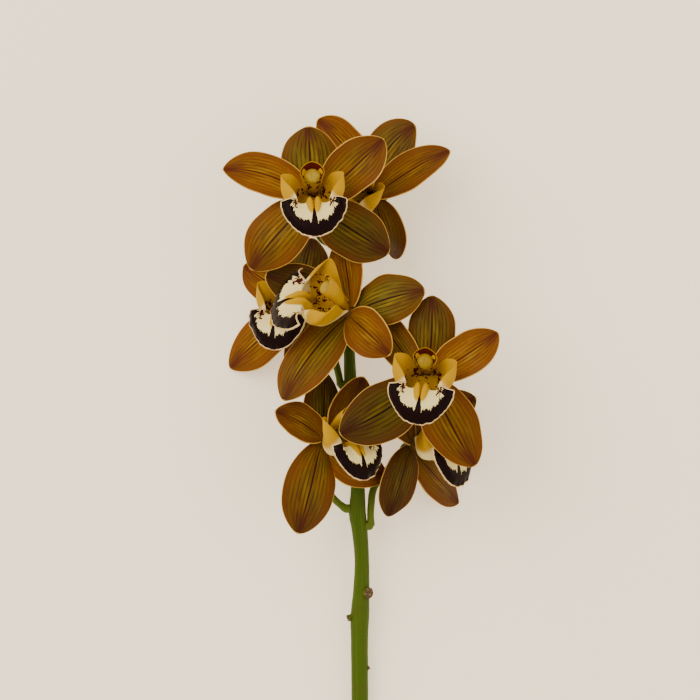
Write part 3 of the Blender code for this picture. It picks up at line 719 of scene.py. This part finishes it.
def makeTepal(name, hub, axes, seat, tepal, seed):
    shape = tepalShape
    tip, width, bow, cup, sweep, roll, tint, shadeTone = tepal
    right, up, facing = axes
    lean = math.radians(seat[0])
    ringOut = up * math.cos(lean) - right * math.sin(lean)
    tip = Vector(tip)
    outward = (tip - facing * tip.dot(facing)).normalized()
    outward = (outward + ringOut * shape["start"]).normalized()
    start = hub + ringOut * shape["seatRadius"] + facing * seat[1]
    end = hub + tip
    length = (end - start).length
    startPull = start + outward * length * shape["pulls"][0]
    runIn = (end - startPull).normalized()
    sideways = facing.cross(runIn).normalized() * sweep * 1.33
    startPull = startPull + sideways
    endPull = end - runIn * length * shape["pulls"][1] + facing * bow * 1.5 + sideways
    columns, rows = shape["columns"], shape["rows"]
    hubPower, tipPower, divisor = shape["outline"]
    frames = []
    for row in range(rows + 1):
        even = row / rows
        u = 0.55 * even + 0.45 * 0.5 * (1.0 - math.cos(math.pi * even))
        centre = bezier(start, startPull, endPull, end, u)
        ahead = bezier(start, startPull, endPull, end, min(u + 0.01, 1.0))
        behind = bezier(start, startPull, endPull, end, max(u - 0.01, 0.0))
        along = (ahead - behind).normalized()
        normal = (facing - along * facing.dot(along)).normalized()
        across = along.cross(normal)
        turn = math.radians(roll) * u
        normal, across = (
            normal * math.cos(turn) + across * math.sin(turn),
            across * math.cos(turn) - normal * math.sin(turn),
        )
        blade = u ** hubPower * (1.0 - u) ** tipPower / divisor
        half = max(0.5 * width * blade + shape["claw"] * (1.0 - u) ** 3, 0.25 + 3.0 * (1.0 - u))
        half *= 1.0 + shape["unevenHalf"] * unevenness(u * 3.0, seed, 0.0)
        frames.append((u, centre, across, normal, half, cup * (1.0 + (1.0 - u) ** 2)))
    weights = []

    def shapeAt(column, row):
        u, centre, across, normal, half, bend = frames[row]
        v = 2.0 * column / columns - 1.0
        v = math.sin(v * 1.2) / math.sin(1.2)  # closer columns near the rim
        angle = bend * v
        uneven = unevenness(u * 3.2, seed, math.copysign(5.0, v))
        spread = half * (1.0 + shape["unevenEdge"] * abs(v) * uneven) / bend
        point = centre + (across * math.sin(angle) + normal * (1.0 - math.cos(angle))) * spread
        lift = -shape["groove"] * math.exp(-(v / shape["grooveWidth"]) ** 2) * (1.0 - u) ** 0.6
        lift += shape["pleat"] * math.cos(v * math.pi * shape["pleats"]) * (1.0 - v * v)
        lift += shape["edgeWave"] * abs(v) ** 3 * unevenness(u * 4.5, seed + v, 3.0)
        lift += shape["dents"] * unevenness(u * 2.5, v * 1.5, seed) * arch(u)
        lift += shape["hook"] * max(0.0, (u - shape["hookStart"]) / (1.0 - shape["hookStart"])) ** 2
        point += (normal * math.cos(angle) - across * math.sin(angle)) * lift
        rim = min(half * (1.0 - abs(v)), (1.0 - u) * length * 0.8)
        weights.append((1.0 - v * v) * min(1.0, 8.0 * (1.0 - u)))
        return point, ((v + 1.0) * 0.5, u), (rim, tint, shadeTone)

    piece = shapedGrid(name, columns, rows, ("rim", "tint", "shadeTone"), shapeAt)
    thicken(piece, shape, weights, tepalFront, tepalBack)
    finishPiece(piece, name)


lipShape = {
    "columns": 84,
    "rows": 84,
    "thick": 1.0,
    "thinShare": 0.5,      # thickness of the rim, as a share of that
    "floorDrop": 3.4,      # how far the throat's floor starts below the hub's middle
    "floorSag": 6.5,
    "floorFall": 1.2,      # and how much lower it ends
    "backLift": 3.0,       # how far it curves up at its back end
    "backHalf": 3.0,       # half width there, how much it grows, and how quickly
    "halfGrowth": 8.3,
    "growthRate": 2.3,
    "pinch": 0.22,         # share by which the mouth narrows again
    "wall": (1.4, 2.6, 2.2),   # height of the walls, and how much more at the back and at the mouth
    "ear": (17.5, 1.5, 0.62),  # height, power that moves its peak, power that rounds it
    "flare": 6.0,          # how far the ears lean out, and their rims curl in
    "curl": 4.0,
    "throatStart": 3.4,    # forward of the hub's middle
    "throatLength": 19.6,
    "earForward": 2.5,
    "apronAngle": 98.0,    # degrees from its middle to each side
    "apronHalf": 17.6,
    "apronPoint": 0.1,     # how much narrower it is where it runs to its tip
    "apronDrop": 9.0,      # down, and further down to its tip
    "apronLength": 18.0,
    "apronForward": 24.5,  # forward, and further forward at its tip
    "apronNose": 1.5,
    "apronCrown": 3.4,     # how far it bulges forward
    "keel": 4.6,           # height of the two ridges in the throat
    "keelWidth": 0.06,     # as a share of the half width, as is the next
    "keelsApart": 0.115,
    "frill": 0.9,          # waves of the apron's rim
    "rimWave": 0.35,
}


def lipPlace(s, t):
    # The place (x right, y up, z forward), the share of an ear's height and the distance from the rim;
    # s is 0 to 1 in the throat and 1 to 2 on the apron, t is -1 to 1 from side to side
    shape = lipShape
    throat = min(s, 1.0)
    floorY = -shape["floorDrop"] - shape["floorSag"] * arch(throat * 0.8)
    floorY += shape["backLift"] * max(1.0 - throat / 0.22, 0.0) ** 2 - shape["floorFall"] * throat
    half = shape["backHalf"] + shape["halfGrowth"] * ease(throat * shape["growthRate"])
    half *= 1.0 - shape["pinch"] * max(throat - 0.7, 0.0) / 0.3
    earHeight, earPower, earRound = shape["ear"]
    ear = abs(arch(throat ** earPower)) ** earRound
    wall, atBack, atMouth = shape["wall"]
    wall += atBack * (1.0 - throat) ** 2 + earHeight * ear + atMouth * throat
    rise = max(abs(t) - 0.3, 0.0) / 0.7
    side = math.copysign(1.0, t) if t else 0.0
    flare = shape["flare"] * arch(throat ** 3.1) * ease(rise * 1.5)
    curl = shape["curl"] * arch(min(throat * 1.3, 1.0)) * rise ** 2
    x = side * (half * ease(abs(t) / 0.55) + flare - curl)
    z = shape["throatStart"] + shape["throatLength"] * throat + shape["earForward"] * rise * arch(throat)
    mouth = Vector((x, floorY + wall * rise, z))
    if s <= 1.0:
        return mouth, ear * rise, 99.0  # far from the apron's rim
    spread = s - 1.0
    angle = math.radians(shape["apronAngle"]) * t
    narrow = 1.0 - shape["apronPoint"] * math.sin(2.0 * angle) ** 2
    rim = Vector((
        shape["apronHalf"] * math.sin(angle) * narrow,
        -shape["apronDrop"] - shape["apronLength"] * math.cos(angle),
        shape["apronForward"] + shape["apronNose"] * math.cos(angle),
    ))
    place = mouth.lerp(rim, spread)
    place.z += shape["apronCrown"] * arch(spread)
    return place, ear * rise, (rim - mouth).length * (1.0 - spread)


def keelHeight(s, t):
    # Two ridges side by side on the throat's floor that run out on to the apron and draw together there
    grow = clamp((s - 0.2) / 0.5)
    fade = clamp((1.5 - s) / 0.6)
    apart = lipShape["keelsApart"] - 0.06 * clamp((s - 0.7) / 0.6)
    ridge = math.exp(-((abs(t) - apart) / lipShape["keelWidth"]) ** 2)
    return grow ** 1.5 * fade ** 1.2 * ridge


def makeLip(name, hub, axes, size, seed):
    shape = lipShape
    right, up, facing = axes
    columns, rows = shape["columns"], shape["rows"]
    weights = []
    step = 0.01

    def shapeAt(column, row):
        s, t = 2.0 * row / rows, 1.0 - 2.0 * column / columns
        place, ear, outer = lipPlace(s, t)
        along = lipPlace(min(s + step, 2.0), t)[0] - lipPlace(max(s - step, 0.0), t)[0]
        across = lipPlace(s, min(t + step, 1.0))[0] - lipPlace(s, max(t - step, -1.0))[0]
        normal = along.cross(across).normalized()
        keel = keelHeight(s, t)
        sideEdge = (1.0 - abs(t)) * (14.0 + 16.0 * max(s - 1.0, 0.0))
        rim = min(outer, sideEdge)
        wave = unevenness(t * 9.0, s * 2.0, seed) * shape["frill"]
        wave *= math.exp(-(rim / 3.0) ** 2) * clamp((s - 0.9) * 4.0)
        place = place + normal * (shape["keel"] * keel + wave)
        outward = Vector((math.sin(t * 1.7), -math.cos(t * 1.7), 0.0))
        ragged = unevenness(t * 14.0, 7.0, seed) * math.exp(-(outer / 2.0) ** 2)
        place = (place + outward * shape["rimWave"] * ragged) * size
        place = hub + right * place.x + up * place.y + facing * place.z
        weights.append(min(1.0, rim / 3.0))
        return place, ((t + 1.0) * 0.5, s * 0.5), (outer, rim, ear, keel)

    piece = shapedGrid(name, columns, rows, ("outer", "rim", "ear", "keel"), shapeAt)
    thicken(piece, shape, weights, lipFront, lipBack)
    finishPiece(piece, name)


def tubeFrames(centres, side=Vector((0.0, 0.0, 1.0))):
    # For each place along a line: the place, two directions square to the line, and its own direction
    frames = []
    count = len(centres)
    for index, centre in enumerate(centres):
        along = (centres[min(index + 1, count - 1)] - centres[max(index - 1, 0)]).normalized()
        side = (side - along * side.dot(along)).normalized()
        frames.append((centre, side, along.cross(side), along))
    return frames


def rollTube(name, sides, frames, radiusAt, materials, labels=()):
    # Rolls a grid into a tube round the frames, welds its seam and closes both ends
    rows = len(frames) - 1

    def shapeAt(column, row):
        centre, side, across, along = frames[row]
        angle = 2.0 * math.pi * column / sides
        radius, flatten, forward, *numbers = radiusAt(row / rows, angle, row)
        out = side * math.cos(angle) + across * flatten * math.sin(angle)
        return centre + out * radius + along * forward, (column / sides, row / rows), numbers

    piece = shapedGrid(name, sides, rows, labels, shapeAt)
    bpy.ops.object.mode_set(mode="EDIT")
    bpy.ops.mesh.select_all(action="SELECT")
    bpy.ops.mesh.remove_doubles(threshold=0.000002)
    bpy.ops.mesh.fill_holes(sides=0)
    bpy.ops.mesh.select_all(action="SELECT")
    bpy.ops.mesh.normals_make_consistent(inside=False)
    bpy.ops.object.mode_set(mode="OBJECT")
    for material in materials:
        piece.data.materials.append(material)
    return piece


columnShape = {
    # height over the hub, place forward of it and radius, in mm
    "profile": [
        (1.6, 3.4, 2.0), (2.9, 8.0, 2.8), (5.0, 13.0, 3.7),
        (7.4, 18.5, 4.4), (8.3, 22.5, 4.8), (8.7, 24.6, 4.8),
    ],
    "wide": 1.34,         # width for a height of 1
    "hollow": 0.3,        # how flat the underside is
    "sides": 56,
    "rows": 84,
    "mouth": 0.8,         # share of the rows that lies behind the rim of the tip
    "deep": 2.2,          # how far the tip is hollowed
    "hood": 2.2,          # how far the top juts out
    "cutBack": 7.0,       # how far the underside ends before it
    "peak": 0.08,         # how far the top rises to a point, as a share of the radius
    "rimWidth": 0.14,     # share of the hollow that is maroon
    "cap": (4.3, 4.2, 3.0),
    "capPlace": (6.9, 21.8),  # height over the hub and place forward of it
}


def makeColumn(name, hub, axes):
    shape = columnShape
    right, up, facing = axes
    profile = [Vector(place) for place in shape["profile"]]
    rows, rimRow = shape["rows"], round(shape["rows"] * shape["mouth"])
    centres, radii = [], []
    for row in range(rimRow + 1):
        height, forward, radius = smoothRoute(profile, row / rimRow)
        centres.append(hub + up * height + facing * forward)
        radii.append(radius)
    frames = tubeFrames(centres, up)
    frames += [frames[-1]] * (rows - rimRow)

    def radiusAt(share, angle, row):
        top = math.cos(angle)
        under = max(-top, 0.0)
        body = min(row / rimRow, 1.0)
        inside = max(row - rimRow, 0) / (rows - rimRow)
        nearTip = max(body - 0.5, 0.0) / 0.5
        peak = shape["peak"] * math.exp(-(math.sin(0.5 * angle) / 0.17) ** 2) * nearTip ** 2
        radius = radii[min(row, rimRow)] * (1.0 - shape["hollow"] * under ** 1.5 + peak)
        radius *= 1.0 - 0.97 * inside
        shift = shape["hood"] * max(top, 0.0) ** 2 - shape["cutBack"] * under ** 1.3
        shift *= nearTip ** 2 * (1.0 - inside)
        shift -= shape["deep"] * ease(inside * 1.8) + 2.4 * inside
        within = min(inside / 0.1, 1.0)
        maroon = within * clamp((top - 0.45) / 0.3)
        maroon = max(maroon, within * (1.0 if inside < shape["rimWidth"] and top > -0.45 else 0.0))
        speckled = max(under, 0.9 * within * (1.0 if top < 0.2 else 0.0))
        return radius, shape["wide"], shift, speckled, body, maroon

    labels = ("under", "forward", "hood")
    piece = rollTube(name, shape["sides"], frames, radiusAt, (columnWax,), labels)
    finishPiece(piece, name)
    capUp, capForward = shape["capPlace"]
    cap = makeCap(name + "_cap", hub + up * capUp + facing * capForward, axes)
    finishPiece(cap, None)


def makeCap(name, centre, axes):
    # The anther cap under the column's hood: a rounded yellowish dome with a cleft
    right, up, facing = axes
    wide, tall, deep = columnShape["cap"]
    bpy.ops.mesh.primitive_uv_sphere_add(segments=40, ring_count=24, radius=1.0)
    cap = named(name)
    for vertex in cap.data.vertices:
        x, y, z = vertex.co
        cleft = 0.16 * math.exp(-(x / 0.12) ** 2) * max(z, 0.0)
        taper = 1.0 - 0.25 * max(-y, 0.0)
        place = centre + right * x * wide * taper + up * y * tall + facing * (z * (1.0 - cleft)) * deep
        vertex.co = (place + sprayMiddle) * mm
    cap.data.materials.append(capWax)
    return cap


stemShape = {
    # The stem's middle line from the cut end to its top, and its radius at each place, in mm
    "route": [
        ((7.0, -268.0, 4.9), 4.7), ((5.6, -228.0, 5.1), 4.6), ((5.4, -189.0, 6.6), 4.7),
        ((5.2, -158.0, 9.0), 4.9), ((5.4, -147.0, 10.2), 5.3), ((6.2, -132.0, 11.8), 4.6),
        ((6.5, -115.0, 14.2), 4.1), ((5.2, -98.0, 17.0), 4.5), ((4.0, -89.0, 18.8), 4.8),
        ((4.2, -74.0, 21.8), 3.9), ((2.8, -50.0, 26.6), 3.9), ((0.4, -20.0, 32.0), 3.6),
        ((-0.4, 0.0, 35.4), 3.1), ((-1.6, 24.0, 38.6), 2.9), ((-4.4, 54.0, 41.5), 2.6),
    ],
    # Scars of lower flowers and bracts: place, direction, radius and length
    "scars": [
        ((6.4, -133.0, 12.0), (0.74, -0.1, 0.67), 2.8, 5.9),
        ((5.0, -145.5, 10.4), (-1.0, -0.35, 0.2), 1.6, 7.0),
        ((5.4, -177.5, 7.6), (1.0, 0.5, 0.2), 0.9, 6.0),
    ],
    "sides": 40,
    "rows": 200,
}


def makeStem():
    shape = stemShape
    places = [Vector(place) for place, radius in shape["route"]]
    sizes = [Vector((radius, 0.0, 0.0)) for place, radius in shape["route"]]
    rows = shape["rows"]
    centres = [smoothRoute(places, row / rows) for row in range(rows + 1)]

    def radiusAt(share, angle, row):
        radius = smoothRoute(sizes, share).x
        rib = 0.005 * math.cos(7.0 * angle + 3.0 * share)
        uneven = 0.02 * unevenness(math.cos(angle), math.sin(angle), share * 60.0)
        return radius * (0.985 + rib + uneven), 1.0, 0.0

    materials = (stemGreen, cutEnd, scarBrown)
    stem = rollTube("stem_fine", shape["sides"], tubeFrames(centres), radiusAt, materials)
    scars = [(Vector(place), Vector(way).normalized(), *size) for place, way, *size in shape["scars"]]
    for scar in scars:
        addScar(stem, *scar)
    for face in stem.data.polygons:
        centre = face.center / mm - sprayMiddle
        if centre.y < places[0].y + 0.3 and abs(face.normal.y) > 0.7:
            face.material_index = 1
        for place, direction, radius, length in scars:
            out = (centre - place).dot(direction)
            aside = centre - place - direction * out
            if out > length * 0.86 and aside.length < radius * 1.3:
                face.material_index = 2
    finishPiece(stem, "stem", math.radians(40.0))


def addScar(stem, place, direction, radius, length):
    # A short stub with a rounded collar, joined to the stem
    bpy.ops.mesh.primitive_cylinder_add(vertices=28, radius=1.0, depth=1.0)
    scar = bpy.context.object
    bpy.ops.object.mode_set(mode="EDIT")
    bpy.ops.mesh.select_all(action="SELECT")
    bpy.ops.mesh.bevel(offset=0.12, segments=3, affect="EDGES")
    bpy.ops.object.mode_set(mode="OBJECT")
    for material in stem.data.materials:
        scar.data.materials.append(material)
    turn = direction.to_track_quat("Z", "Y")
    for vertex in scar.data.vertices:
        x, y, z = vertex.co
        out = (z + 0.5) * length
        uneven = 1.0 + 0.06 * unevenness(x * 2.0, y * 2.0, length)
        widen = radius * (1.0 + 0.2 * (z + 0.5)) * uneven
        local = turn @ Vector((x * widen, y * widen, out))
        vertex.co = (place + local + sprayMiddle) * mm
    stem.select_set(True)
    bpy.context.view_layer.objects.active = stem
    bpy.ops.object.join()


stalkShape = {
    "radius": 2.05,
    "neck": 3.1,
    "sink": 1.2,           # how far it starts inside the stem
    "hubBack": 8.0,
    # The swollen end that carries the flower: forward place and radius
    "hub": [(-5.0, 2.7), (-3.6, 3.1), (0.9, 3.15), (2.2, 2.55), (3.0, 1.5)],
    "sides": 28,
    "stalkRows": 44,
    "hubRows": 18,
}


def stemState(y):
    # The stem's middle, direction and radius at a place along it
    route = stemShape["route"]
    for (low, lowRadius), (high, highRadius) in zip(route, route[1:]):
        low, high = Vector(low), Vector(high)
        share = (y - low.y) / (high.y - low.y)
        if share <= 1.0:
            break
    return low.lerp(high, share), (high - low).normalized(), lowRadius + share * (highRadius - lowRadius)


def makeStalk(name, flower, hub, facing):
    shape = stalkShape
    topY = stemShape["route"][-1][0][1]
    middle, leave, radius = stemState(flower.get("stalkY", topY))
    start = middle - leave * shape["sink"]
    if "stalkSide" in flower:
        side = Vector(flower["stalkSide"])
        leave = (side - leave * side.dot(leave)).normalized()
        start = middle + leave * (radius - shape["sink"])
    route = [start + leave * shape["neck"]]
    route += [Vector(place) for place in flower["stalkVia"]]
    route += [hub - facing * shape["hubBack"]]
    centres, radii = [start], [shape["radius"] * 1.25]
    for row in range(shape["stalkRows"]):
        share = row / shape["stalkRows"]
        centres.append(smoothRoute(route, share))
        foot = 0.25 * max(0.0, 1.0 - share * 8.0)
        radii.append(shape["radius"] * (0.93 + foot + 0.25 * share))
    profile = [Vector((-shape["hubBack"], shape["radius"] * 1.2, 0.0))]
    profile += [Vector((forward, size, 0.0)) for forward, size in shape["hub"]]
    for row in range(shape["hubRows"] + 1):
        forward, size, spare = smoothRoute(profile, row / shape["hubRows"])
        centres.append(hub + facing * forward)
        radii.append(size)

    def radiusAt(share, angle, row):
        ridges = 0.985 + 0.025 * math.cos(6.0 * angle) * arch(share)
        # Painted shade share: 0 along the stalk, rising to 1 over the hub, which the stalk's material
        # darkens
        hubShadeShare = clamp((row - shape["stalkRows"]) / 6.0)
        return radii[row] * ridges, 1.0, 0.0, hubShadeShare

    frames = tubeFrames(centres)
    piece = rollTube(name, shape["sides"], frames, radiusAt, (stalkGreen,), ("hubShadeShare",))
    finishPiece(piece, name)


for node in list(frame["nodes"].values()):
    node.name = node["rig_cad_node"] + "_cad"  # the fine pieces take the plain names

makeStem()
print("stem made")

for flowerIndex, (flowerName, flower) in enumerate(flowers.items()):
    hub = Vector(flower["hub"])
    axes = axesOf(flower["facing"], flower["up"])
    lipAxes = axesOf(flower.get("lipFacing", flower["facing"]), flower.get("lipUp", flower["up"]))
    makeStalk(flowerName + "_pedicel", flower, hub, axes[2])
    for tepalIndex, (part, seat) in enumerate(seats.items()):
        seed = 10.0 * flowerIndex + 1.7 * tepalIndex
        makeTepal(flowerName + "_" + part, hub, axes, seat, flower[part], seed)
    makeLip(flowerName + "_lip", hub, lipAxes, flower.get("lipSize", 1.0), 5.0 * flowerIndex)
    makeColumn(flowerName + "_column", hub, lipAxes)
    print(flowerName, "made")


studio = {
    "floorSize": 6.0,
    "floorColour": (236, 222, 198),
    "floorGlow": (255, 228, 186),
    "floorGlowStrength": 0.75,
    "worldColour": (255, 251, 245),
    "worldStrength": 1.12,
    "lightColour": (1.0, 0.97, 0.93),
    "aim": (0.0, 0.05, 0.05),
    "lights": {  # place, size and power
        "key": ((-0.9, 0.8, 1.5), 1.4, 32.0),
        "fill": ((1.2, -0.4, 1.3), 1.6, 8.0),
    },
}


def makeFloor():
    bpy.ops.mesh.primitive_plane_add(size=studio["floorSize"])
    floor = named("floor")
    material, tree, shader = newMaterial("paleFloor", 0.9, 0.1)
    shader.inputs["Base Color"].default_value = onScreen(*studio["floorColour"])
    shader.inputs["Emission Color"].default_value = onScreen(*studio["floorGlow"])
    shader.inputs["Emission Strength"].default_value = studio["floorGlowStrength"]
    floor.data.materials.append(material)


def addLight(name, place, size, power):
    light = bpy.data.lights.new(name, "AREA")
    light.size = size
    light.energy = power
    light.color = studio["lightColour"]
    lamp = bpy.data.objects.new(name, light)
    lamp.location = place
    lamp.rotation_mode = "QUATERNION"
    lamp.rotation_quaternion = (Vector(studio["aim"]) - Vector(place)).to_track_quat("-Z", "Y")
    bpy.context.scene.collection.objects.link(lamp)


def makeStudio():
    makeFloor()
    world = bpy.data.worlds.new("studio")
    bpy.context.scene.world = world
    world.use_nodes = True
    background = world.node_tree.nodes["Background"]
    background.inputs["Color"].default_value = onScreen(*studio["worldColour"])
    background.inputs["Strength"].default_value = studio["worldStrength"]
    for name, (place, size, power) in studio["lights"].items():
        addLight(name, place, size, power)


cameraView = {
    "middle": (-5.5, 70.0),   # the photo's centre, in mm
    "distance": 2000.0,       # mm above the flowers' mean height
    "meanHeight": 50.0,
    "frameWidth": 378.0,      # mm seen across the photo at that height
    "sensor": 36.0,
}


def makeCamera():
    data = bpy.data.cameras.new("camera")
    data.sensor_width = cameraView["sensor"]
    data.lens = cameraView["sensor"] * cameraView["distance"] / cameraView["frameWidth"]
    camera = bpy.data.objects.new("camera", data)
    camera.location = Vector((*cameraView["middle"], cameraView["meanHeight"] + cameraView["distance"])) * mm
    bpy.context.scene.collection.objects.link(camera)
    bpy.context.scene.camera = camera


makeStudio()
makeCamera()
print("studio and camera made")
